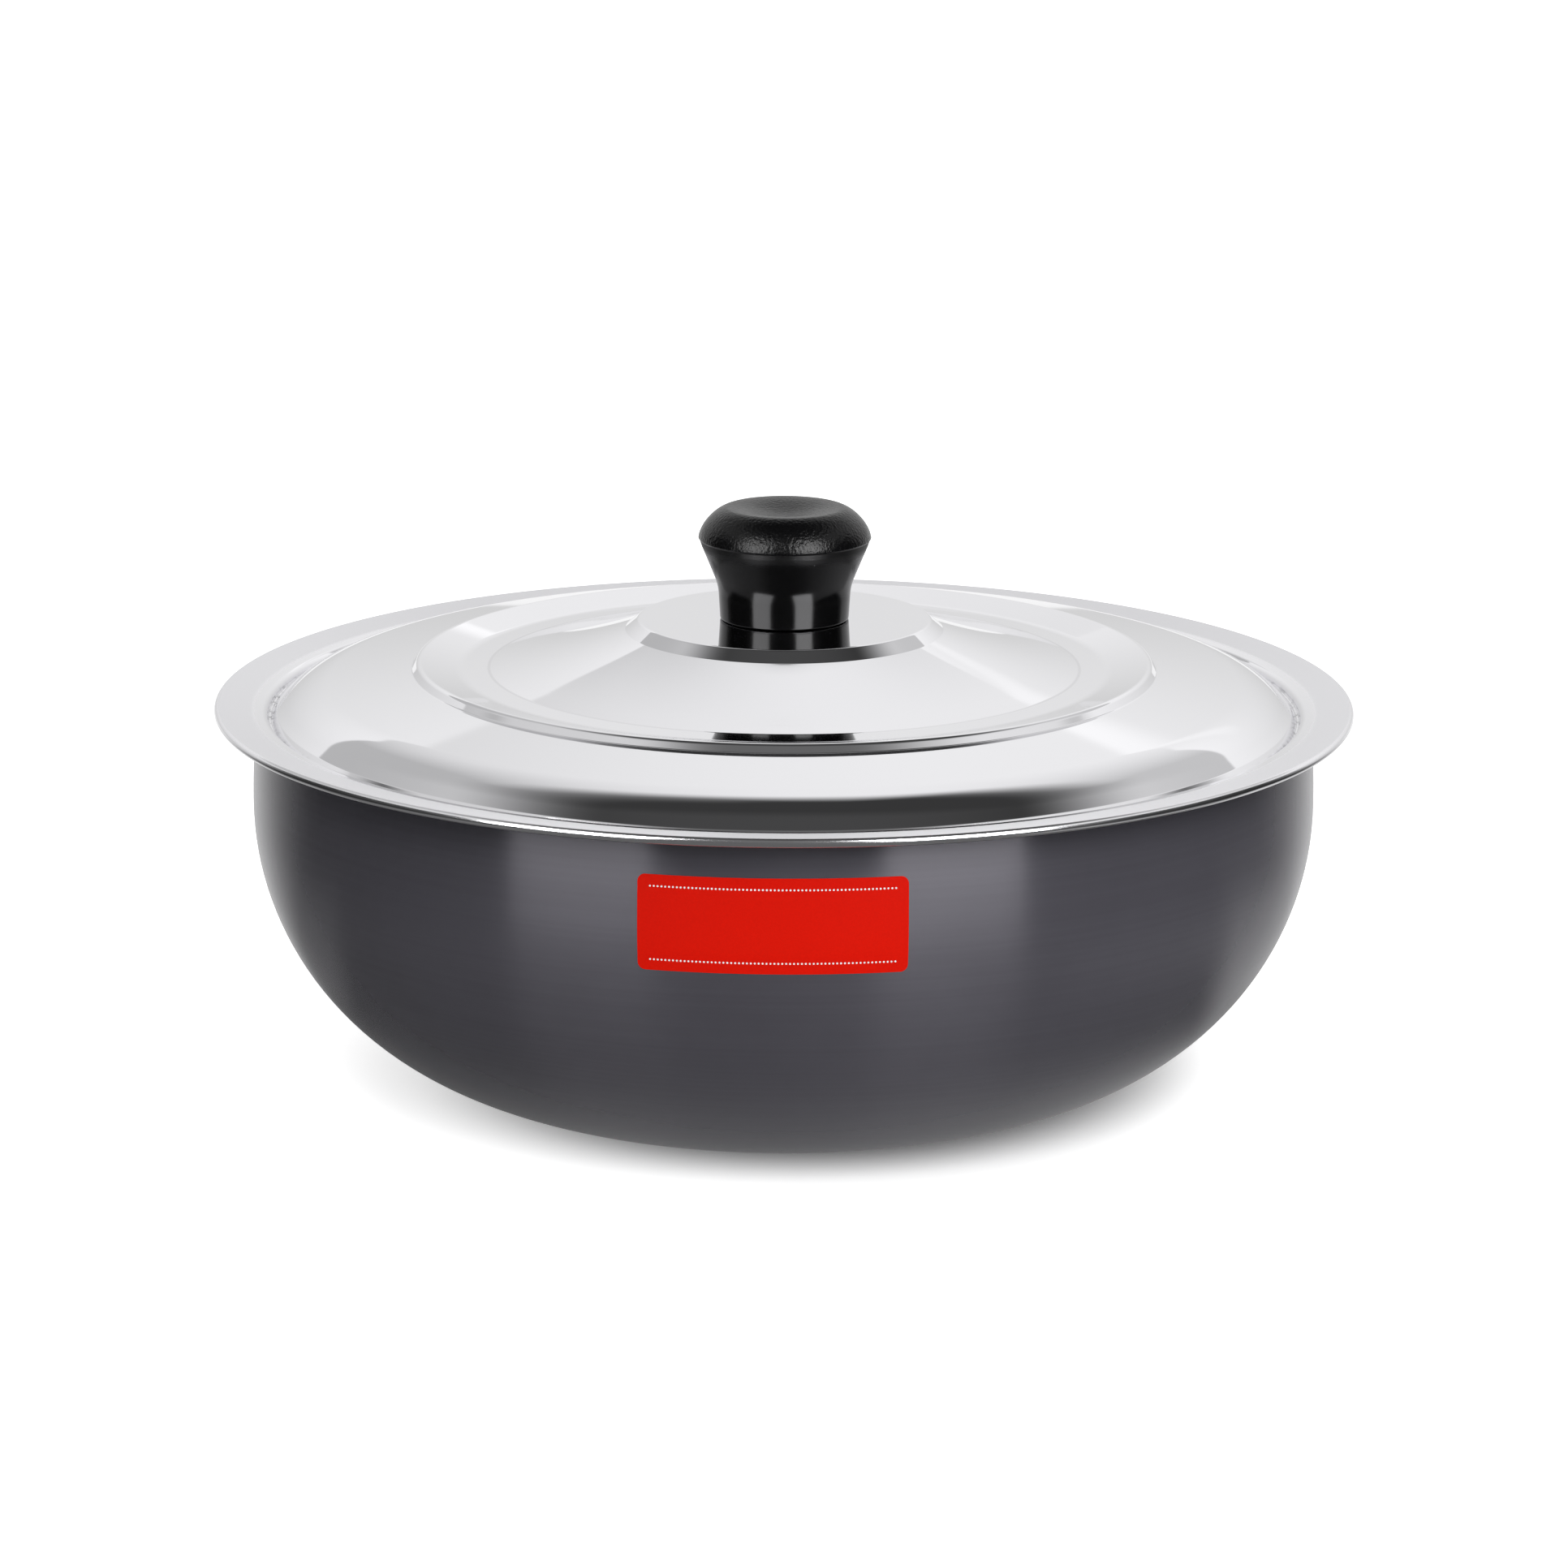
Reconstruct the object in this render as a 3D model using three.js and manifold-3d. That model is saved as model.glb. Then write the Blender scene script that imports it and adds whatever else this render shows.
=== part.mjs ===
// Deep cooking pan with a loose lid.
// A spun aluminium pan without handles, a pressed steel lid whose groove drops into the pan's
// mouth, and a moulded knob held on the lid by one screw from below.
// Millimetres, +Z up. The origin is the middle of the flat base, on the surface the pan stands on.

import * as THREE from "three";
import { mergeVertices } from "three/addons/utils/BufferGeometryUtils.js";
import Module from "manifold-3d";

const wasm = await Module();
wasm.setup();

// Pan: the base's flat is what the corner leaves of the radius
const panRadius = 120;
const panHeight = 85.6;
const panWall = 2.6;
const panCornerRadius = 65;
const panRimFlat = 1.4;

// Lid sheet, its fit in the pan's mouth and its rolled edge
const lidSheet = 0.6;
const lidPlay = 0.5;
const seatGap = 0.1;
const lidBend = 0.4;
const grooveDepth = 2.4;
const flangeWidth = 9.9;
const flangeRise = 1.1;
const curlBore = 0.45;
const curlTurn = 1.5 * Math.PI;

// Lid steps: widths are counted inwards from the groove's wall, heights upwards from the pan's rim
const shoulderInset = 5.8;
const shoulderHeight = 5.07;
const shoulderRadius = 14;
const domeInset = 21.3;
const domeHeight = 7.66;
const domeRadius = 120;
const stepInset = 32.3;
const stepFootHeight = 8.5;
const stepRise = 2.4;
const stepSlant = 2;
const troughWidth = 14;
const troughFloor = 5;
const troughDepth = 1.76;
const troughRounding = 15;
const coneFootRounding = 4;
const coneTopHeight = 17;
const discRadius = 33;
const discRise = 2.8;
const discSlant = 2.9;

// Knob moulding: heights are counted from its seat on the lid's disc
const stemFootRadius = 14.5;
const stemFootRounding = 0.5;
const stemTopRadius = 14.97;
const stemHeight = 7.6;
const waistRounding = 12;
const neckRadius = 19.1;
const neckHeight = 17.1;
const neckRounding = 3;
const capRadius = 19.45;
const capHeight = 18.5;
const capLip = 0.4;
const crestRadius = 11.5;
const crestHeight = 25.8;
const crownFullness = 1.8;
const dishDepth = 2;

// Screw, washer and the threaded bush in the knob
const threadRadius = 1.75;
const threadPlay = 0.15;
const screwGrip = 9;
const screwTipRoom = 1.5;
const screwChamfer = 0.5;
const screwHeadRadius = 3.5;
const screwHeadHeight = 2.6;
const screwHeadRounding = 1.2;
const recessWidth = 0.9;
const recessLength = 4.2;
const recessDepth = 1.5;
const washerRadius = 6;
const washerThickness = 1;
const bushWall = 2;
const bushCrown = 2;
const bushGrooveDepth = 0.8;
const bushGrooveFoot = 4;
const bushGrooveLength = 3;
const mouldGap = 0.1;

// Facets round a turned piece, and along each kind of curve
const largeFacets = 48;
const knobFacets = 36;
const smallFacets = 20;
const cornerSteps = 10;
const bendSteps = 2;
const roundSteps = 4;
const curlSteps = 7;
const crownSteps = 8;
const dishSteps = 5;

const anodised = new THREE.MeshStandardMaterial({ color: 0x46464a, roughness: 0.42, metalness: 0.8 });
const polishedSteel = new THREE.MeshStandardMaterial({ color: 0xd8d8da, roughness: 0.14, metalness: 1 });
const blackPhenolic = new THREE.MeshStandardMaterial({ color: 0x0d0d0e, roughness: 0.35, metalness: 0 });
const brass = new THREE.MeshStandardMaterial({ color: 0xb5933f, roughness: 0.35, metalness: 1 });
const platedSteel = new THREE.MeshStandardMaterial({ color: 0xb9bcc0, roughness: 0.3, metalness: 1 });

const point = (radius, height) => new THREE.Vector2(radius, height);

// Even shares of a whole, the last one being 1
const shares = (count) => Array.from({ length: count }, (_, i) => (i + 1) / count);

// An arc in the profile plane, from one angle to another, in either direction
function arc(radius, height, size, from, to, steps) {
  return new THREE.EllipseCurve(radius, height, size, size, from, to, to < from).getPoints(steps);
}

// The tangent arc that rounds one corner of a profile
function roundedCorner(before, corner, after, size, steps) {
  const back = before.clone().sub(corner).normalize();
  const ahead = after.clone().sub(corner).normalize();
  const halfAngle = Math.acos(back.dot(ahead)) / 2;
  const toCentre = back.clone().add(ahead).setLength(size / Math.sin(halfAngle));
  const centre = corner.clone().add(toCentre);
  const tangent = size / Math.tan(halfAngle);
  const from = back.setLength(tangent).add(corner).sub(centre).angle();
  const to = ahead.setLength(tangent).add(corner).sub(centre).angle();
  const turn = Math.atan2(Math.sin(to - from), Math.cos(to - from));
  return arc(centre.x, centre.y, size, from, from + turn, steps);
}

// A profile through the given corners; a corner with a rounding becomes an arc
function roundedLine(corners) {
  return corners.flatMap(({ at, rounding, steps = bendSteps }, i) =>
    rounding ? roundedCorner(corners[i - 1].at, at, corners[i + 1].at, rounding, steps) : [at.clone()]);
}

// The other face of a bent sheet: each stretch moved to the right by the sheet's thickness
function otherFace(line, thickness) {
  const rightOf = (a, b) => point(b.y - a.y, a.x - b.x).normalize();
  return line.map((at, i) => {
    const first = rightOf(line[Math.max(i - 1, 0)], line[Math.max(i, 1)]);
    const second = rightOf(line[Math.min(i, line.length - 2)], line[Math.min(i + 1, line.length - 1)]);
    const across = first.add(second).normalize();
    return at.clone().addScaledVector(across, thickness / across.dot(second));
  });
}

// A turned solid about +Z; the profile runs anticlockwise with the radius to the right
function turned(profile, facets) {
  return new THREE.LatheGeometry(profile, facets).rotateX(Math.PI / 2);
}

// A turned tube wall: the profile is closed on itself
function turnedRing(profile, facets) {
  return turned([...profile, profile[0].clone()], facets);
}

function toSolid(geometry) {
  const bare = geometry.clone();
  bare.deleteAttribute("normal");
  bare.deleteAttribute("uv");
  const merged = mergeVertices(bare);
  const triangles = Array.from(merged.index.array);
  const kept = [];
  for (let i = 0; i < triangles.length; i += 3) {
    const [a, b, c] = triangles.slice(i, i + 3);
    if (a !== b && b !== c && c !== a) kept.push(a, b, c);
  }
  return new wasm.Manifold(new wasm.Mesh({
    numProp: 3,
    vertProperties: new Float32Array(merged.attributes.position.array),
    triVerts: new Uint32Array(kept),
  }));
}

function toGeometry(solid) {
  const mesh = solid.getMesh();
  const geometry = new THREE.BufferGeometry();
  geometry.setAttribute("position", new THREE.BufferAttribute(mesh.vertProperties, mesh.numProp));
  geometry.setIndex(new THREE.BufferAttribute(mesh.triVerts, 1));
  return geometry;
}

const assembly = new THREE.Group();

function place(name, geometry, material, height = 0) {
  const mesh = new THREE.Mesh(geometry, material);
  mesh.name = name;
  mesh.position.z = height;
  assembly.add(mesh);
}

const panMouthRadius = panRadius - panWall;
const panRimRounding = (panWall - panRimFlat) / 2;

function panBody() {
  const baseRadius = panRadius - panCornerRadius;
  const rimFoot = panHeight - panRimRounding;
  const profile = [
    point(0, 0),
    ...arc(baseRadius, panCornerRadius, panCornerRadius, -Math.PI / 2, 0, cornerSteps),
    ...arc(panRadius - panRimRounding, rimFoot, panRimRounding, 0, Math.PI / 2, bendSteps),
    ...arc(panMouthRadius + panRimRounding, rimFoot, panRimRounding, Math.PI / 2, Math.PI, bendSteps),
    ...arc(baseRadius, panCornerRadius, panCornerRadius - panWall, 0, -Math.PI / 2, cornerSteps),
    point(0, panWall),
  ];
  return turned(profile, largeFacets);
}

// The groove's outer wall hangs in the pan's mouth; the flange lies on the pan's rim
const grooveWallRadius = panMouthRadius - lidPlay - lidSheet;
const flangeHeight = panHeight + seatGap + lidSheet;
const stepFootRadius = grooveWallRadius - stepInset;
const discFootRadius = discRadius + discSlant;
const discHeight = panHeight + coneTopHeight + discRise;
const screwHoleRadius = threadRadius + threadPlay;

// The sheet's upper face, from the screw hole out to the end of the rolled edge
function lidUpperFace() {
  const outerBend = lidBend + lidSheet;
  const rimBend = panRimRounding + lidPlay + lidSheet;
  const lipRadius = stepFootRadius - stepSlant;
  const lipHeight = panHeight + stepFootHeight + stepRise;
  const troughHeight = lipHeight - troughDepth;
  const troughFootRadius = lipRadius - troughWidth;
  const flangeAngle = Math.atan2(flangeRise, flangeWidth);
  const flangeFoot = point(grooveWallRadius, flangeHeight - rimBend * Math.tan(flangeAngle));
  const flangeEnd = point(grooveWallRadius + rimBend + flangeWidth, flangeHeight + flangeRise);
  const curlRadius = curlBore + lidSheet;
  const curlStart = Math.PI / 2 + flangeAngle;
  const toCurlStart = point(Math.cos(curlStart), Math.sin(curlStart));
  const curlCentre = flangeEnd.clone().addScaledVector(toCurlStart, -curlRadius);
  const corners = [
    { at: point(screwHoleRadius, discHeight) },
    { at: point(discRadius, discHeight), rounding: outerBend },
    { at: point(discFootRadius, panHeight + coneTopHeight), rounding: lidBend },
    { at: point(troughFootRadius, troughHeight), rounding: coneFootRounding },
    { at: point(troughFootRadius + troughFloor, troughHeight), rounding: troughRounding },
    { at: point(lipRadius, lipHeight), rounding: outerBend },
    { at: point(stepFootRadius, panHeight + stepFootHeight), rounding: lidBend },
    { at: point(grooveWallRadius - domeInset, panHeight + domeHeight), rounding: domeRadius },
    {
      at: point(grooveWallRadius - shoulderInset, panHeight + shoulderHeight),
      rounding: shoulderRadius,
      steps: roundSteps,
    },
    { at: point(grooveWallRadius, panHeight - grooveDepth), rounding: lidBend, steps: roundSteps },
    { at: flangeFoot, rounding: rimBend },
    { at: flangeEnd },
  ];
  const curl = arc(curlCentre.x, curlCentre.y, curlRadius, curlStart, curlStart - curlTurn, curlSteps);
  return [...roundedLine(corners), ...curl.slice(1)];
}

function lidShell() {
  const upper = lidUpperFace();
  const under = otherFace(upper, lidSheet);
  return turnedRing([...under, ...upper.reverse()], largeFacets);
}

const bushRadius = threadRadius + threadPlay + bushWall;
const bushBoreDepth = screwGrip + screwTipRoom;
const bushHeight = bushBoreDepth + bushCrown;

// The outside of the bush from its foot to its crown, with room added all round for the moulding
function bushOutside(room) {
  const waistRadius = bushRadius - bushGrooveDepth + room;
  const waistTop = bushGrooveFoot + bushGrooveLength;
  return [
    point(bushRadius + room, 0),
    point(bushRadius + room, bushGrooveFoot + room),
    point(waistRadius, bushGrooveFoot + room),
    point(waistRadius, waistTop - room),
    point(bushRadius + room, waistTop - room),
    point(bushRadius + room, bushHeight + room),
    point(0, bushHeight + room),
  ];
}

function knobBush() {
  const bore = [point(0, bushBoreDepth), point(screwHoleRadius, bushBoreDepth), point(screwHoleRadius, 0)];
  return turned([...bore, ...bushOutside(0)], smallFacets);
}

// The cap's crown, a superellipse from the cap's edge up to the crest round the dish
function knobCrown() {
  const eased = (share) => Math.max(share, 0) ** (2 / crownFullness);
  return shares(crownSteps).map((share) => share * Math.PI / 2).map((angle) => point(
    crestRadius + (capRadius - crestRadius) * eased(Math.cos(angle)),
    capHeight + (crestHeight - capHeight) * eased(Math.sin(angle)),
  ));
}

// The finger dish, which leaves the crest level and is level again on the axis
function knobDish() {
  return shares(dishSteps).map((share) => 1 - share).map((out) => point(
    crestRadius * out,
    crestHeight - dishDepth * (1 + Math.cos(Math.PI * out)) / 2,
  ));
}

function knob() {
  const pocket = bushOutside(mouldGap).reverse();
  const side = roundedLine([
    { at: pocket.at(-1) },
    { at: point(stemFootRadius, 0), rounding: stemFootRounding },
    { at: point(stemTopRadius, stemHeight), rounding: waistRounding, steps: roundSteps },
    { at: point(neckRadius, neckHeight), rounding: neckRounding },
    { at: point(neckRadius, capHeight - capLip) },
    { at: point(capRadius, capHeight) },
  ]);
  return turned([...pocket.slice(0, -1), ...side, ...knobCrown(), ...knobDish()], knobFacets);
}

const washerTop = discHeight - lidSheet - seatGap;
const screwSeat = washerTop - washerThickness - seatGap;
const knobSeat = discHeight + seatGap;

function knobWasher() {
  const outline = [
    point(screwHoleRadius, -washerThickness),
    point(washerRadius, -washerThickness),
    point(washerRadius, 0),
    point(screwHoleRadius, 0),
  ];
  return turnedRing(outline, smallFacets);
}

// The screw's head hangs below its seat and its thread reaches up into the bush
function knobScrew() {
  const tip = knobSeat + screwGrip - screwSeat;
  const body = toSolid(turned([
    point(0, -screwHeadHeight),
    ...arc(
      screwHeadRadius - screwHeadRounding, screwHeadRounding - screwHeadHeight, screwHeadRounding,
      -Math.PI / 2, 0, roundSteps,
    ),
    point(screwHeadRadius, 0),
    point(threadRadius, 0),
    point(threadRadius, tip - screwChamfer),
    point(threadRadius - screwChamfer, tip),
    point(0, tip),
  ], smallFacets));
  const slotSize = [recessLength, recessWidth, 2 * recessDepth];
  const slot = new THREE.BoxGeometry(...slotSize).translate(0, 0, -screwHeadHeight);
  const crossSlot = slot.clone().rotateZ(Math.PI / 2);
  return toGeometry(body.subtract(toSolid(slot)).subtract(toSolid(crossSlot)));
}

place("pan_body", panBody(), anodised);
place("lid_shell", lidShell(), polishedSteel);
place("knob", knob(), blackPhenolic, knobSeat);
place("knob_insert", knobBush(), brass, knobSeat);
place("knob_washer", knobWasher(), platedSteel, washerTop);
place("knob_screw", knobScrew(), platedSteel, screwSeat);

export default assembly;
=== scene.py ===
import math
from collections import namedtuple

import bmesh
import bpy
from mathutils import Matrix, Vector


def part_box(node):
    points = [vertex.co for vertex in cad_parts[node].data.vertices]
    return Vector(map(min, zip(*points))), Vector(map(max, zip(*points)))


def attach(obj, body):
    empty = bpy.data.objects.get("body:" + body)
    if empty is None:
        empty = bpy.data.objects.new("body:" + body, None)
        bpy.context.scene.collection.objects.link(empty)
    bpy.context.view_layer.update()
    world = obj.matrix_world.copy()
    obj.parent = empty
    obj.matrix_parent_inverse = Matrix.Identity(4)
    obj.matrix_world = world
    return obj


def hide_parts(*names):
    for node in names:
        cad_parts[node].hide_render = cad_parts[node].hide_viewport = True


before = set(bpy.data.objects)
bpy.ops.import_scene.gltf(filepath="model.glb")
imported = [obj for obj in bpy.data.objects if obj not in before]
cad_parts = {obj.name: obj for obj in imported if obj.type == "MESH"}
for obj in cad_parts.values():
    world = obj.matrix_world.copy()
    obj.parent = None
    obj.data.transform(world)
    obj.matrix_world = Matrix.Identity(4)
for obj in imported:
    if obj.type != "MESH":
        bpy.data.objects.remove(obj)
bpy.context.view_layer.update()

MM = 0.001

# Sizes that the frame gives
pan_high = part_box("pan_body")[1]
lid_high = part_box("lid_shell")[1]
knob_low, knob_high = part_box("knob")

# Pan
PAN_RADIUS = pan_high.x
PAN_HEIGHT = pan_high.z
PAN_WALL = 2.6 * MM
PAN_CORNER = 65 * MM
PAN_BULGE = 190 * MM
PAN_RIM_ROUND = 0.6 * MM
PAN_BASE = PAN_RADIUS - PAN_CORNER
PAN_MOUTH = PAN_RADIUS - PAN_WALL

# Lid sheet: widths count inwards from the groove's wall, heights upwards from the pan's rim
LID_SHEET = 0.6 * MM
LID_BEND = 0.4 * MM
LID_PLAY = 0.5 * MM
SEAT_GAP = 0.1 * MM
GROOVE_WALL = PAN_MOUTH - LID_PLAY - LID_SHEET
GROOVE_DEPTH = 2.4 * MM
SHOULDER = (8.28 * MM, 5.43 * MM, 19.5 * MM)
SKIRT_END = (1.82 * MM, 0.2 * MM, 0.8 * MM)
STEP_FOOT = (32.3 * MM, 8.95 * MM)
STEP_LIP = (33.7 * MM, 10.9 * MM, 1.2 * MM)
TROUGH_OUTER = (43.1 * MM, 8.63 * MM, 8 * MM)
TROUGH_INNER = (49.7 * MM, 8.88 * MM, 3 * MM)
CONE_TOP = 17.4 * MM
CONE_WAIST = (67.15 * MM, 12.53 * MM, 178 * MM)
CREASE_RADIUS = 66.7 * MM
DISC_RADIUS = 33 * MM
DISC_SLANT = 2.9 * MM
DISC_HEIGHT = lid_high.z
HOLE_RADIUS = 1.9 * MM
RIM_BEND = 1.7 * MM
FLANGE_WIDTH = 9.25 * MM
FLANGE_RISE = 1.3 * MM
FLANGE_END = GROOVE_WALL + RIM_BEND + FLANGE_WIDTH
CURL_RADIUS = 1.05 * MM
CURL_TURN = math.radians(270)

# Finish and painted shade of the lid: places where they change, from the groove's wall, the flange's end and
# the pan's rim
GROOVE_SHADE_MIDDLE = GROOVE_WALL - 0.4 * MM
GROOVE_SHADE_REACH = (0.2 * MM, 1.1 * MM)
GROOVE_SHADE_HEIGHT = (PAN_HEIGHT - 1.6 * MM, PAN_HEIGHT + 0.4 * MM)
SATIN_START = (GROOVE_WALL + 2.2 * MM, GROOVE_WALL + 4.2 * MM)
SATIN_END = (FLANGE_END + 0.1 * MM, FLANGE_END + 0.7 * MM)
CURL_SHADE_START = (FLANGE_END, FLANGE_END + 0.6 * MM)
CURL_SHADE_HEIGHT = (PAN_HEIGHT + 1.1 * MM, PAN_HEIGHT + 1.7 * MM)
UNDER_SHADE_START = (GROOVE_WALL + RIM_BEND, FLANGE_END)
UNDER_SHADE_HEIGHT = (PAN_HEIGHT, PAN_HEIGHT + 0.3 * MM)
CREASE_REACH = (0.1 * MM, 0.5 * MM)

# Knob: heights count from its seat
KNOB_SEAT = knob_low.z
STEM_FOOT = (14.5 * MM, 0, 0.5 * MM)
STEM_TOP = (14.97 * MM, 7.6 * MM, 12 * MM)
NECK = (18.78 * MM, 16.9 * MM, 3 * MM)
NECK_TOP = 19.15 * MM
CAP_RADIUS = knob_high.x
CAP_HEIGHT = 18.5 * MM
CAP_LIP = 0.4 * MM
CREST_RADIUS = 13 * MM
CREST_HEIGHT = knob_high.z - knob_low.z - 0.4 * MM
CROWN_FULLNESS = 1.55
DISH_DEPTH = 2 * MM

# Finish of the knob: heights between which it changes
CAP_GRAIN = (KNOB_SEAT + CAP_HEIGHT - 0.5 * MM, KNOB_SEAT + CAP_HEIGHT)
NECK_DULL = (KNOB_SEAT + 14.5 * MM, KNOB_SEAT + 17 * MM)

# Label on the front of the pan
LABEL_WIDTH = 56.5 * MM
LABEL_HEIGHT = 20.5 * MM
LABEL_MIDDLE = (-2.1 * MM, 66.7 * MM)
LABEL_CORNER = 1.6 * MM
LABEL_SLICES = (28, 10)
LABEL_DOTS = (64, 0.81 * MM, 0.21 * MM)
LABEL_DOT_ROW = 7.85 * MM
LABEL_DOT_SIDES = 10
LABEL_DOT_DEPTH = 0.06 * MM
LABEL_THICKNESS = 0.12 * MM
LABEL_LIFT = 0.06 * MM
RED_INK = (0.62, 0.0065, 0.001)
WHITE_INK = (0.8, 0.8, 0.8)

# Share of each finer layer in every noise
NOISE_ROUGHNESS = 0.55

# Studio: the floor's size and the point that the lamps face
FLOOR_RADIUS = 9.0
FLOOR_SIDES = 96
LAMP_AIM = Vector((0, 0, 80 * MM))

# Stretches of the floor over which its light changes: the painted shadow's from its middle, the rest from the
# axis
SHADOW_MIDDLE = 8 * MM
SHADOW_CORE = (60 * MM, 96 * MM)
SHADOW_EDGE = (88 * MM, 125 * MM)
UNDER_PAN = (90 * MM, 125 * MM)
UNDER_PAN_LEFT = (-90 * MM, -30 * MM)
APRON_INNER = (90 * MM, 140 * MM)
APRON_OUTER = (210 * MM, 290 * MM)
APRON_ACROSS = (-100 * MM, 100 * MM)
APRON_FRONT = (-50 * MM, 0)
STRIP_INNER = (150 * MM, 175 * MM)
STRIP_OUTER = (200 * MM, 230 * MM)
FAR_ASIDE = (200 * MM, 350 * MM)

# Steps round a turned piece, and along its curves
ROUND_STEPS = 240
BEND_STEPS = 6
CURVE_STEPS = 14
CURL_STEPS = 28
SHOULDER_STEPS = 28
CORNER_STEPS = 40

# Meshes: distance of support points from a line's ends, distance that merges points, angle of a sharp edge
SUPPORT = 0.12 * MM
WELD = 0.002 * MM
SHARP_ANGLE = math.radians(50)

# The photograph's camera
PHOTO_PIXELS = 1932
FOCAL_PIXELS = 6501
SENSOR = 36.0
CAMERA_AIM = Vector((0.1 * MM, 0, 66.74 * MM))
CAMERA_DISTANCE = 1.2
CAMERA_ELEVATION = math.radians(14.18)
CAMERA_ROLL = math.radians(0.289)
CAMERA_REACH = 50


class Section:
    """A half-section drawn in the XZ plane with straight lines and arcs, then turned about Z."""

    def __init__(self, radius, height):
        self.mesh = bmesh.new()
        self.tip = self.mesh.verts.new((radius, 0, height))

    def step(self, place):
        made = bmesh.ops.extrude_vert_indiv(self.mesh, verts=[self.tip])
        self.tip = made["verts"][0]
        self.tip.co = place

    def line(self, radius, height):
        """A straight line with a close support point at each end, so that flats stay flat in shading."""
        start, end = self.tip.co.copy(), Vector((radius, 0, height))
        along = end - start
        if along.length > 4 * SUPPORT:
            support = along.normalized() * SUPPORT
            self.step(start + support)
            self.step(end - support)
        self.step(end)

    def arc(self, centre, turn, steps):
        """An arc round a centre, anticlockwise for a positive turn."""
        made = bmesh.ops.spin(
            self.mesh, geom=[self.tip], cent=centre, axis=(0, -1, 0), angle=turn, steps=steps)
        self.tip = next(part for part in made["geom_last"] if isinstance(part, bmesh.types.BMVert))

    def bend(self, corner, after, rounding, steps=BEND_STEPS):
        """A line towards a corner, and the tangent arc that rounds it on the way to the next one."""
        corner, after = Vector((corner[0], 0, corner[1])), Vector((after[0], 0, after[1]))
        back = (self.tip.co - corner).normalized()
        ahead = (after - corner).normalized()
        half = back.angle(ahead) / 2
        start = corner + back * (rounding / math.tan(half))
        centre = corner + (back + ahead).normalized() * (rounding / math.sin(half))
        turns_left = back.cross(ahead).y > 0
        turn = math.pi - 2 * half
        self.line(start.x, start.z)
        self.arc(centre, turn if turns_left else -turn, steps)

    def path(self, corners):
        """Lines through corners given as (radius, height) or (radius, height, rounding, steps)."""
        for corner, after in zip(corners, corners[1:] + [None]):
            if len(corner) == 2:
                self.line(*corner)
            else:
                self.bend(corner[:2], after[:2], *corner[2:])

    def turned(self):
        """The turned surface, with its doubles merged and its faces pointing out."""
        bmesh.ops.spin(
            self.mesh, geom=self.mesh.verts[:] + self.mesh.edges[:], cent=(0, 0, 0), axis=(0, 0, 1),
            angle=math.tau, steps=ROUND_STEPS, use_merge=True)
        bmesh.ops.remove_doubles(self.mesh, verts=self.mesh.verts[:], dist=WELD)
        bmesh.ops.recalc_face_normals(self.mesh, faces=self.mesh.faces[:])
        return self.mesh


def piece(name, mesh, material, body, slot, *nodes):
    """A finished object from a bmesh, riding on its body and standing for the nodes it replaces."""
    data = bpy.data.meshes.new(name)
    mesh.to_mesh(data)
    mesh.free()
    data.polygons.foreach_set("use_smooth", [True] * len(data.polygons))
    data.set_sharp_from_angle(angle=SHARP_ANGLE)
    data.materials.append(material)
    made = bpy.data.objects.new(name, data)
    bpy.context.scene.collection.objects.link(made)
    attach(made, body)
    if nodes:
        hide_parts(*nodes)
    return made


class Field:
    """A value that changes over a surface: a shader socket whose sums are written as expressions."""

    def __init__(self, tree, socket):
        self.tree = tree
        self.socket = socket

    def maths(self, operation, *values):
        inputs = {i: value for i, value in enumerate(values)}
        return self.tree.node("ShaderNodeMath", {"operation": operation}, inputs)

    def __add__(self, other):
        return self.maths("ADD", self, other)

    def __sub__(self, other):
        return self.maths("SUBTRACT", self, other)

    def __mul__(self, other):
        return self.maths("MULTIPLY", self, other)

    def __truediv__(self, other):
        return self.maths("DIVIDE", self, other)

    def __rsub__(self, other):
        return self.maths("SUBTRACT", other, self)

    def __neg__(self):
        return self.maths("MULTIPLY", self, -1)

    def __pow__(self, other):
        return self.maths("POWER", self, other)

    def __abs__(self):
        return self.maths("ABSOLUTE", self)

    __radd__ = __add__
    __rmul__ = __mul__

    def ramp(self, low, high, start=0, end=1):
        """A smooth change from start to end while this value goes from low to high."""
        values = {"Value": self, "From Min": low, "From Max": high, "To Min": start, "To Max": end}
        settings = {"interpolation_type": "SMOOTHSTEP", "clamp": True}
        return self.tree.node("ShaderNodeMapRange", settings, values)

    def larger(self, other):
        return self.maths("MAXIMUM", self, other)


Place = namedtuple("Place", "x y z radius")


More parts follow.
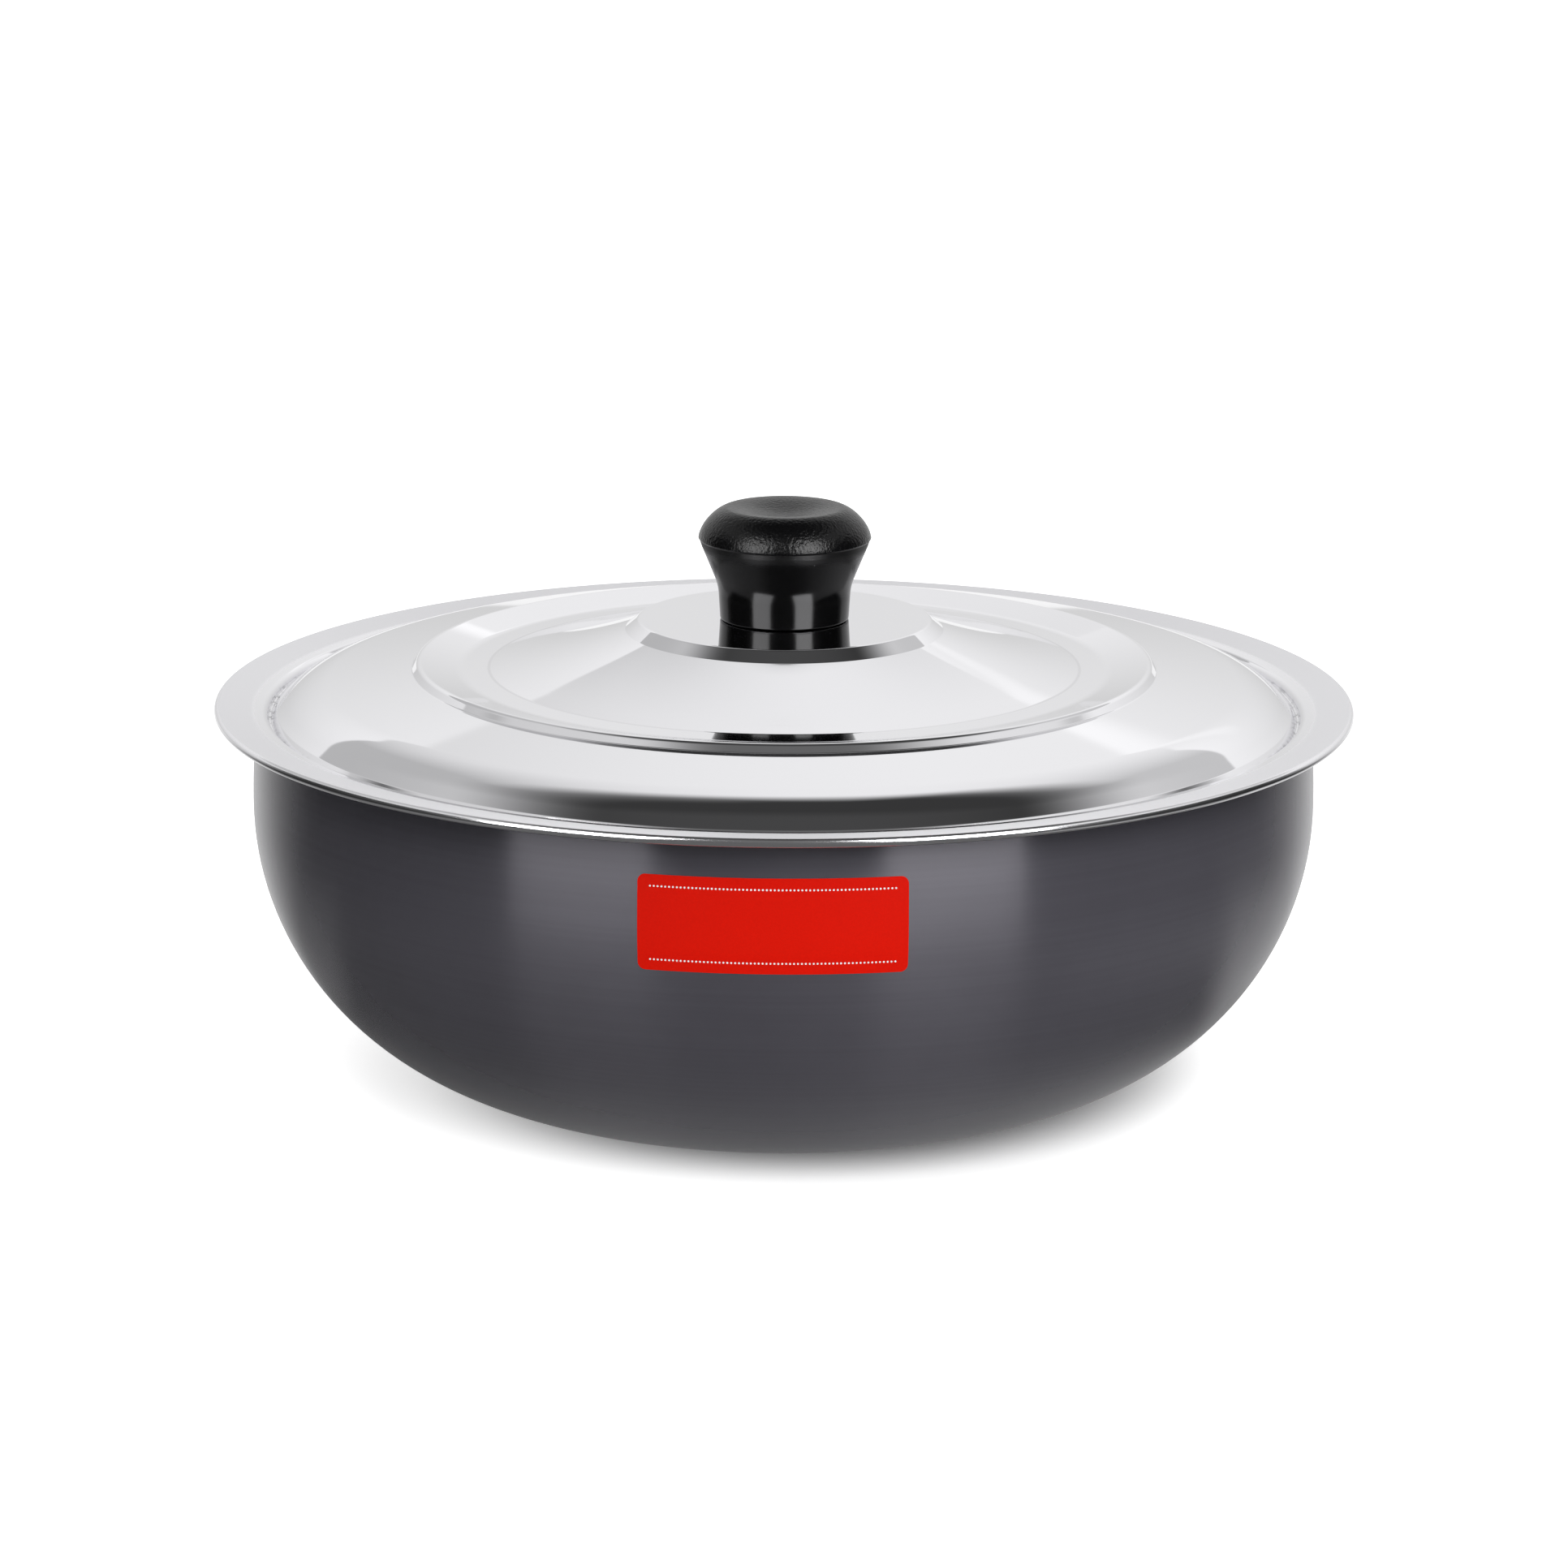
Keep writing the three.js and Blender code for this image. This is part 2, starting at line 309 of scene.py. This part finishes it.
class Tree:
    """The node tree of a material or of the world, with short ways to add its nodes."""

    def __init__(self, owner):
        owner.use_nodes = True
        self.owner = owner
        self.nodes = owner.node_tree.nodes
        self.links = owner.node_tree.links
        self.nodes.clear()

    def node(self, kind, settings=None, inputs=None, output=0):
        made = self.nodes.new(kind)
        for name, value in (settings or {}).items():
            setattr(made, name, value)
        for name, value in (inputs or {}).items():
            if isinstance(value, Field):
                self.links.new(value.socket, made.inputs[name])
            else:
                made.inputs[name].default_value = value
        if made.outputs:
            return Field(self, made.outputs[output])

    def mix(self, share, first, second):
        """A colour between two colours; sockets 6 and 7 are the colour inputs, output 2 the colour."""
        settings = {"data_type": "RGBA"}
        return self.node("ShaderNodeMix", settings, {0: share, 6: first, 7: second}, 2)

    def vector(self, x, y, z):
        return self.node("ShaderNodeCombineXYZ", None, {"X": x, "Y": y, "Z": z})

    def where(self, axes="Object"):
        """The surface point in metres in the piece's own axes, or for the world the direction looked in."""
        return self.node("ShaderNodeTexCoord", output=axes)

    def place(self, axes="Object"):
        """The same point as x, y and z, with its distance from the axis."""
        split = self.node("ShaderNodeSeparateXYZ", None, {"Vector": self.where(axes)})
        x, y, z = (Field(self, out) for out in split.socket.node.outputs)
        return Place(x, y, z, (x * x + y * y) ** 0.5)

    def noise(self, vector, scale, detail):
        inputs = {"Vector": vector, "Scale": scale, "Detail": detail, "Roughness": NOISE_ROUGHNESS}
        return self.node("ShaderNodeTexNoise", None, inputs)

    def rings(self, per_metre, drift, detail):
        """Fine lines round the axis, so many to the metre, that drift a little on their way round."""
        x, y, z, radius = self.place()
        across = self.vector(radius * per_metre + x * drift, z * per_metre + y * drift, 0)
        return self.noise(across, scale=1.0, detail=detail)

    def bump(self, height, distance, strength):
        inputs = {"Height": height, "Distance": distance, "Strength": strength}
        return self.node("ShaderNodeBump", None, inputs)

    def light_path(self, name):
        """1 for rays of the named kind and 0 for all others."""
        path = self.node("ShaderNodeLightPath")
        return Field(self, path.socket.node.outputs[name])

    def principled(self, **inputs):
        """The material's surface; input names are written with underscores for spaces."""
        named = {name.replace("_", " "): value for name, value in inputs.items()}
        shader = self.node("ShaderNodeBsdfPrincipled", None, named)
        self.node("ShaderNodeOutputMaterial", None, {"Surface": shader})
        return self.owner


def new_material(name):
    return Tree(bpy.data.materials.new(name))


def colour(red, green, blue):
    return (red, green, blue, 1.0)


def anodised_aluminium():
    """Dark satin oxide over spun aluminium: gloss drawn out across the turning rings, faint cloudiness."""
    tree = new_material("anodised_aluminium")
    rings = tree.rings(per_metre=900, drift=6, detail=4.0)
    clouds = tree.noise(tree.where(), scale=22.0, detail=4.0)
    shade = rings * 0.35 + clouds * 0.65
    deep = colour(0.053, 0.0508, 0.061)
    pale = colour(0.0605, 0.0583, 0.07)
    base = tree.mix(shade.ramp(0.3, 0.7), deep, pale)
    return tree.principled(
        Base_Color=base, Metallic=0.0, Roughness=0.235 + rings * 0.02 + clouds * 0.01,
        Anisotropic=1.0, Anisotropic_Rotation=0.25,
        Specular_IOR_Level=0.55, Specular_Tint=colour(0.95, 0.92, 1.0),
        Normal=tree.bump(rings, distance=0.004 * MM, strength=0.06))


def polished_steel():
    """Polished stainless sheet: turning lines, satin flange, and painted shade in the groove, along the
    cone's crease, on the rolled edge and under the flange.
    """
    tree = new_material("polished_steel")
    _, _, z, radius = tree.place()
    rings = tree.rings(per_metre=1400, drift=5, detail=3.0)
    patches = tree.noise(tree.where(), scale=260.0, detail=4.0)
    # Painted shade: a patchy dark band low in the groove, which also roughens the steel there
    in_groove = abs(radius - GROOVE_SHADE_MIDDLE).ramp(*GROOVE_SHADE_REACH, 1, 0) * z.ramp(*GROOVE_SHADE_HEIGHT, 1, 0)
    groove_shade = in_groove * patches.ramp(0.48, 0.7)
    satin = radius.ramp(*SATIN_START) * radius.ramp(*SATIN_END, 1, 0.3)
    # Painted shade: the rolled edge is darkened on its outer lower part, standing in for the dark room it
    # mirrors
    curl_shade = radius.ramp(*CURL_SHADE_START) * z.ramp(*CURL_SHADE_HEIGHT, 1, 0)
    # Painted shade: the flange's underside is darkened and roughened
    under_shade = radius.ramp(*UNDER_SHADE_START) * z.ramp(*UNDER_SHADE_HEIGHT, 1, 0)
    # Painted shade: a thin dark line along the cone's foot, standing in for the shading of a sharp crease
    crease_shade = abs(radius - CREASE_RADIUS).ramp(*CREASE_REACH, 0.14, 0)
    # All the painted shade together: the share of the dark tone in the steel's colour
    painted_shade = (groove_shade * 0.6).larger(curl_shade * 0.12).larger(under_shade * 0.9).larger(crease_shade)
    steel_tone = colour(0.80, 0.797, 0.817)
    shade_tone = colour(0.08, 0.08, 0.084)
    base = tree.mix(painted_shade, steel_tone, shade_tone)
    gloss = 0.03 + rings * 0.012 + patches * 0.01
    return tree.principled(
        Base_Color=base, Metallic=1.0, Roughness=gloss + groove_shade * 0.3 + satin * 0.4 + under_shade * 0.3,
        Anisotropic=0.5, Anisotropic_Rotation=0.25,
        Normal=tree.bump(rings, distance=0.002 * MM, strength=0.3))


def black_phenolic():
    """Black moulding: a glossy stem, duller towards its mould line, and a fine-grained cap above it."""
    tree = new_material("black_phenolic")
    z = tree.place().z
    on_cap = z.ramp(*CAP_GRAIN)
    by_lip = z.ramp(*NECK_DULL)
    grain = tree.noise(tree.where(), scale=1500.0, detail=2.0)
    flow = tree.noise(tree.where(), scale=150.0, detail=3.0)
    stem = colour(0.0008, 0.0008, 0.001)
    cap = colour(0.0012, 0.0012, 0.0015)
    base = tree.mix(on_cap, stem, cap)
    gloss = 0.13 + flow * 0.05 + by_lip * (1 - on_cap) * 0.25 + on_cap * 0.09
    return tree.principled(
        Base_Color=base, Roughness=gloss, Specular_IOR_Level=0.2,
        Normal=tree.bump(grain * on_cap, distance=0.17 * MM, strength=0.9))


def label_print(name, ink):
    """Printed vinyl with a soft gloss and the faintest tooth."""
    tree = new_material(name)
    tooth = tree.noise(tree.where(), scale=2500.0, detail=2.0)
    thin = [0.94 * part for part in ink]
    base = tree.mix(tooth.ramp(0.3, 0.7), colour(*ink), colour(*thin))
    return tree.principled(
        Base_Color=base, Roughness=0.5 + tooth * 0.06, Specular_IOR_Level=0.03,
        Normal=tree.bump(tooth, distance=0.01 * MM, strength=0.3))


def turned_brass():
    """Bright brass with the lines of the lathe."""
    tree = new_material("turned_brass")
    rings = tree.rings(per_metre=2500, drift=0, detail=3.0)
    deep = colour(0.42, 0.26, 0.055)
    pale = colour(0.5, 0.32, 0.075)
    base = tree.mix(rings, deep, pale)
    return tree.principled(Base_Color=base, Metallic=1.0, Roughness=0.25 + rings * 0.15)


def plated_steel():
    """Bright zinc plating with a faint mottle."""
    tree = new_material("plated_steel")
    mottle = tree.noise(tree.where(), scale=700.0, detail=3.0)
    deep = colour(0.46, 0.48, 0.51)
    pale = colour(0.56, 0.57, 0.59)
    base = tree.mix(mottle.ramp(0.3, 0.7), deep, pale)
    return tree.principled(Base_Color=base, Metallic=1.0, Roughness=0.24 + mottle * 0.16)


def studio_floor():
    """White paper that keeps the object's shadow: it glows for the lens alone, dimmer round the pan as a
    painted shadow, and gloss sees a painted table.
    """
    tree = new_material("studio_floor")
    x, y, _, radius = tree.place()
    aside = abs(x)
    paper = tree.node("ShaderNodeBsdfDiffuse", None, {"Color": colour(0.8, 0.8, 0.8)})
    from_shadow = ((x - SHADOW_MIDDLE) * (x - SHADOW_MIDDLE) + y * y) ** 0.5
    # Painted shadow: the glow for the lens is only 0.12 near the pan and rises to full white further out
    glow_and_painted_shadow = from_shadow.ramp(*SHADOW_CORE, 0.12, 0.72) + from_shadow.ramp(*SHADOW_EDGE, 0, 0.28)
    light = tree.node("ShaderNodeEmission", None, {"Strength": tree.light_path("Is Camera Ray") * glow_and_painted_shadow})
    lit = tree.node("ShaderNodeAddShader", None, {0: paper, 1: light})

    # The table in the gloss, a painted reflection that glows for glossy rays alone: painted shade under the
    # pan, a pale apron beside it, dark far out, white behind
    under_pan = radius.ramp(*UNDER_PAN, 0.42, 0) * (1 + x * 3) * x.ramp(*UNDER_PAN_LEFT, 0.35, 1)
    apron = aside.ramp(*APRON_INNER) * radius.ramp(*APRON_OUTER, 1, 0) * x.ramp(*APRON_ACROSS, 0.35, 0.8)
    strip = radius.ramp(*STRIP_INNER, 0, 0.65) * radius.ramp(*STRIP_OUTER, 1, 0)
    backwards = y / radius - aside.ramp(*FAR_ASIDE, 0, 0.25)
    far = backwards.ramp(0, 0.65, aside.ramp(*FAR_ASIDE, 0.15, 0.03), 1)
    beside = apron * y.ramp(*APRON_FRONT).larger(strip)
    painted_table = tree.node("ShaderNodeEmission", None, {"Strength": under_pan + far.larger(beside)})
    both = tree.node("ShaderNodeMixShader", None, {0: tree.light_path("Is Glossy Ray"), 1: lit, 2: painted_table})
    tree.node("ShaderNodeOutputMaterial", None, {"Surface": both})
    return tree.owner


def pan_body():
    """One spun wall: base, large corner and upright side, over a round rim and down again inside."""
    section = Section(0, 0)
    section.line(PAN_BASE, 0)
    section.arc((PAN_BASE, 0, PAN_CORNER), math.pi / 2, CORNER_STEPS)
    rim = PAN_HEIGHT - PAN_RIM_ROUND
    lean = math.asin((rim - PAN_CORNER) / (PAN_BULGE - PAN_RIM_ROUND))
    section.arc((PAN_RADIUS - PAN_BULGE, 0, PAN_CORNER), lean, CURVE_STEPS)
    rim_centre = section.tip.co.x - PAN_RIM_ROUND * math.cos(lean)
    section.arc((rim_centre, 0, rim), math.pi / 2 - lean, BEND_STEPS)
    section.line(PAN_MOUTH + PAN_RIM_ROUND, PAN_HEIGHT)
    section.arc((PAN_MOUTH + PAN_RIM_ROUND, 0, rim), math.pi / 2, BEND_STEPS)
    section.line(PAN_MOUTH, PAN_CORNER)
    section.arc((PAN_BASE, 0, PAN_CORNER), -math.pi / 2, CORNER_STEPS)
    section.line(0, PAN_WALL)
    return piece("deep_pan", section.turned(), anodised_aluminium(), "pan", "anodised_pan", "pan_body")


def lid_shell(finish):
    """One pressed sheet, drawn along its upper face from the screw hole to the end of its rolled edge."""
    def inwards(inset, height, *rounding):
        return (GROOVE_WALL - inset, PAN_HEIGHT + height, *rounding)

    outer_bend = LID_BEND + LID_SHEET
    flange_height = PAN_HEIGHT + SEAT_GAP + LID_SHEET
    flange_angle = math.atan2(FLANGE_RISE, FLANGE_WIDTH)
    flange_end = (FLANGE_END, flange_height + FLANGE_RISE)
    section = Section(HOLE_RADIUS, DISC_HEIGHT)
    section.path([
        (DISC_RADIUS, DISC_HEIGHT, outer_bend),
        (DISC_RADIUS + DISC_SLANT, PAN_HEIGHT + CONE_TOP, LID_BEND),
        inwards(*CONE_WAIST, CURVE_STEPS),
        inwards(*TROUGH_INNER, CURVE_STEPS),
        inwards(*TROUGH_OUTER, CURVE_STEPS),
        inwards(*STEP_LIP, CURVE_STEPS),
        inwards(*STEP_FOOT, LID_BEND),
        inwards(*SHOULDER, SHOULDER_STEPS),
        inwards(*SKIRT_END),
        inwards(0, -GROOVE_DEPTH, LID_BEND, CURVE_STEPS),
        (GROOVE_WALL, flange_height - RIM_BEND * math.tan(flange_angle), RIM_BEND, CURVE_STEPS),
        flange_end,
    ])
    curl_centre = (
        flange_end[0] + CURL_RADIUS * math.sin(flange_angle), 0,
        flange_end[1] - CURL_RADIUS * math.cos(flange_angle))
    section.arc(curl_centre, -CURL_TURN, CURL_STEPS)
    mesh = section.turned()

    # The drawn face is the upper one, so it has to point up before the sheet gets its thickness
    upper = max(mesh.faces, key=lambda face: face.calc_center_median().z)
    if upper.normal.z < 0:
        bmesh.ops.reverse_faces(mesh, faces=mesh.faces[:])
    bmesh.ops.solidify(mesh, geom=mesh.faces[:], thickness=LID_SHEET)
    return piece("stepped_lid", mesh, finish, "lid", "polished_lid", "lid_shell")


def knob():
    """One moulding: waisted stem, neck, overhanging cap with a mould line under it, dished top."""
    def up(radius, height, *rounding):
        return (radius, KNOB_SEAT + height, *rounding)

    section = Section(0, KNOB_SEAT)
    section.path([
        up(*STEM_FOOT),
        up(*STEM_TOP, CURVE_STEPS),
        up(*NECK, CURVE_STEPS),
        up(NECK_TOP, CAP_HEIGHT - CAP_LIP),
        up(CAP_RADIUS, CAP_HEIGHT),
    ])

    # Crown: a quarter curve from the cap's edge up to its crest
    ease = 2 / CROWN_FULLNESS
    for step in range(1, CORNER_STEPS + 1):
        angle = math.pi / 2 * step / CORNER_STEPS
        out = max(math.cos(angle), 0) ** ease
        rise = math.sin(angle) ** ease
        radius = CREST_RADIUS + (CAP_RADIUS - CREST_RADIUS) * out
        section.step((radius, 0, KNOB_SEAT + CAP_HEIGHT + (CREST_HEIGHT - CAP_HEIGHT) * rise))

    # Dish: a shallow hollow from the crest to the axis
    for step in range(CURVE_STEPS - 1, -1, -1):
        out = step / CURVE_STEPS
        depth = DISH_DEPTH * (1 + math.cos(math.pi * out)) / 2
        section.step((CREST_RADIUS * out, 0, KNOB_SEAT + CREST_HEIGHT - depth))
    return piece("lid_knob", section.turned(), black_phenolic(), "lid", "phenolic_knob", "knob")


def pan_outside(height):
    """The pan's outer radius at a height."""
    if height < PAN_CORNER:
        return PAN_BASE + math.sqrt(PAN_CORNER ** 2 - (PAN_CORNER - height) ** 2)
    return PAN_RADIUS - PAN_BULGE + math.sqrt(PAN_BULGE ** 2 - (height - PAN_CORNER) ** 2)


def wrap_on_pan(mesh, lift):
    """Bends a flat sheet round the front of the pan at the label's place, a little off its surface."""
    for vert in mesh.verts:
        height = LABEL_MIDDLE[1] + vert.co.y
        angle = (LABEL_MIDDLE[0] + vert.co.x) / PAN_RADIUS
        out = pan_outside(height) + lift + vert.co.z
        vert.co = (out * math.sin(angle), -out * math.cos(angle), height)
    bmesh.ops.recalc_face_normals(mesh, faces=mesh.faces[:])


def front_label():
    """A blank red label bent round the front of the pan."""
    mesh = bmesh.new()
    bmesh.ops.create_grid(mesh, x_segments=1, y_segments=1, size=0.5)
    bmesh.ops.scale(mesh, vec=(LABEL_WIDTH, LABEL_HEIGHT, 1), verts=mesh.verts[:])
    bmesh.ops.bevel(
        mesh, geom=mesh.verts[:], offset=LABEL_CORNER, segments=BEND_STEPS, profile=0.5,
        affect="VERTICES", material=-1)
    across_and_up = Vector((1, 0, 0)), Vector((0, 1, 0))
    for along, size, slices in zip(across_and_up, (LABEL_WIDTH, LABEL_HEIGHT), LABEL_SLICES):
        for cut in range(1, slices):
            place = along * size * (cut / slices - 0.5)
            bmesh.ops.bisect_plane(
                mesh, geom=mesh.verts[:] + mesh.edges[:] + mesh.faces[:], plane_co=place, plane_no=along)
    bmesh.ops.solidify(mesh, geom=mesh.faces[:], thickness=LABEL_THICKNESS)
    wrap_on_pan(mesh, LABEL_LIFT)
    return piece("front_label", mesh, label_print("label_red", RED_INK), "pan", "anodised_pan")


def label_dots():
    """A plain row of small white dots along the label's upper and lower edge."""
    count, pitch, radius = LABEL_DOTS
    mesh = bmesh.new()
    for row in (-LABEL_DOT_ROW, LABEL_DOT_ROW):
        for dot in range(count):
            across = (dot - (count - 1) / 2) * pitch
            bmesh.ops.create_cone(
                mesh, cap_ends=True, segments=LABEL_DOT_SIDES, radius1=radius, radius2=radius,
                depth=LABEL_DOT_DEPTH, matrix=Matrix.Translation((across, row, 0)))
    wrap_on_pan(mesh, LABEL_LIFT + LABEL_THICKNESS)
    return piece("label_dots", mesh, label_print("label_white", WHITE_INK), "pan", "anodised_pan")


def dress_fasteners():
    """The hidden brass and the plated fasteners keep their solids and get their finish."""
    brass = turned_brass()
    plating = plated_steel()
    for node, finish in {"knob_insert": brass, "knob_washer": plating, "knob_screw": plating}.items():
        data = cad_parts[node].data
        data.materials.clear()
        data.materials.append(finish)


def soft_light(name, azimuth, distance, height, width, tall, power, glossy):
    """A rectangular lamp aimed at the pan, for its gloss alone or for its even light alone."""
    lamp = bpy.data.lights.new(name, "AREA")
    lamp.shape = "RECTANGLE"
    lamp.size = width
    lamp.size_y = tall
    lamp.energy = power
    holder = bpy.data.objects.new(name, lamp)
    turn = math.radians(azimuth)
    holder.location = (distance * math.sin(turn), -distance * math.cos(turn), height)
    holder.rotation_euler = (LAMP_AIM - holder.location).to_track_quat("-Z", "Y").to_euler()
    holder.visible_camera = False
    holder.visible_glossy = glossy
    holder.visible_diffuse = not glossy
    bpy.context.scene.collection.objects.link(holder)


def studio():
    """A white floor, two tall softboxes that gloss mirrors, an even front light and a soft one above."""
    bpy.ops.mesh.primitive_circle_add(vertices=FLOOR_SIDES, radius=FLOOR_RADIUS, fill_type="NGON")
    floor = bpy.context.object
    floor.name = "studio_floor"
    floor.data.materials.append(studio_floor())
    soft_light(
        "softbox_left", azimuth=-41.5, distance=1.2, height=0.62, width=0.72, tall=1.0, power=20, glossy=True)
    soft_light(
        "softbox_right", azimuth=35, distance=1.2, height=0.62, width=0.70, tall=1.0, power=24.5, glossy=True)
    soft_light(
        "front_light", azimuth=16, distance=1.6, height=1.0, width=1.2, tall=1.0, power=28, glossy=False)
    soft_light(
        "top_light", azimuth=60, distance=0.4, height=1.6, width=1.6, tall=1.6, power=14, glossy=False)


def studio_room():
    """The pale room that the lid mirrors, from the direction looked in; the lens sees plain white instead."""
    room = bpy.data.worlds.new("studio")
    bpy.context.scene.world = room
    tree = Tree(room)
    x, y, z, level = tree.place("Generated")
    behind = y / level
    right = x.larger(0)
    aside = abs(x)
    far_aside = aside.ramp(0.79, 0.85)

    # Side walls, brighter on the right, that end overhead and are dark low down beside the camera
    below_ceiling = (z + x.ramp(-0.1, 0.1, 0, 0.05)).ramp(0.74, 0.94, 1, 0)
    beside_camera = behind.ramp(0.3, 0.5, 1, 0) * z.ramp(0.46, 0.56, 1, 0) * far_aside
    sides = x.ramp(-0.3, 0.3, 0.51, 0.62) * behind.ramp(0.25, 0.75, 1.38, 1) * behind.ramp(-0.95, -0.5)
    sides = sides * below_ceiling * (1 - beside_camera)

    # Back wall, brightest just right of the middle, a little dimmer low down on the left
    below_top = (z + x.ramp(0.06, 0.2, 0, 0.04)).ramp(0.77, 0.91, 1, 0)
    low_left = z.ramp(0.40, 0.56, 0.06, 0) * x.ramp(-0.2, 0.05, 1, 0)
    middle = abs(x - 0.06).ramp(0, 0.92, 0.97, 0) * behind.ramp(0.4, 0.8) * below_top - low_left

    # Screen before the walls' foot, with a bright streak along its upper edge on the right
    streak_height = z.ramp(0.355, 0.395) * z.ramp(0.405, 0.44, 1, 0)
    streak_length = right.ramp(0.02, 0.06) * right.ramp(0.25, 0.4, 1, 0)
    streak = streak_height * streak_length * right.ramp(0.08, 0.2, 0.2, 0.07)
    screen = (0.65 + z * 0.73 + x * 0.06) * behind.ramp(0.1, 0.4) + streak
    screen = screen * (1 - behind.ramp(0.3, 0.85, 1, 0) * far_aside)
    screen_edge = z - right * 0.1 - aside.ramp(0.12, 0.3, 0, 0.09) + aside.ramp(0.33, 0.72, 0, 0.1)
    on_screen = screen_edge.ramp(0.392, 0.404, 1, 0)

    # Dim ceiling; for the light on matt surfaces the whole room is dimmed to a quarter
    ceiling = 0.045 + (-y).ramp(-0.2, 0.05) * 0.025 + (-y).ramp(0.3, 0.45) * 0.08
    bright = ceiling + sides.larger(middle) * (1 - on_screen) + screen * on_screen
    bright = bright * (1 - tree.light_path("Is Diffuse Ray") * 0.75)
    white_for_lens = bright.larger(tree.light_path("Is Camera Ray"))
    back = tree.node("ShaderNodeBackground", None, {"Color": white_for_lens, "Strength": 1.0})
    tree.node("ShaderNodeOutputWorld", None, {"Surface": back})


def photo_camera():
    """The photograph's own view, fitted to the edges of the pan and the lid."""
    lens = bpy.data.cameras.new("photo_camera")
    lens.sensor_width = SENSOR
    lens.lens = SENSOR * FOCAL_PIXELS / PHOTO_PIXELS
    lens.clip_end = CAMERA_REACH
    holder = bpy.data.objects.new("photo_camera", lens)
    away = Vector((0, -math.cos(CAMERA_ELEVATION), math.sin(CAMERA_ELEVATION)))
    facing = away.to_track_quat("Z", "Y").to_matrix().to_4x4()
    place = Matrix.Translation(CAMERA_AIM + away * CAMERA_DISTANCE)
    holder.matrix_world = place @ facing @ Matrix.Rotation(CAMERA_ROLL, 4, "Z")
    bpy.context.scene.collection.objects.link(holder)
    bpy.context.scene.camera = holder


bpy.context.scene.view_settings.view_transform = "Standard"
photo_camera()
studio()
studio_room()
pan_body()
lid_shell(polished_steel())
knob()
front_label()
label_dots()
dress_fasteners()
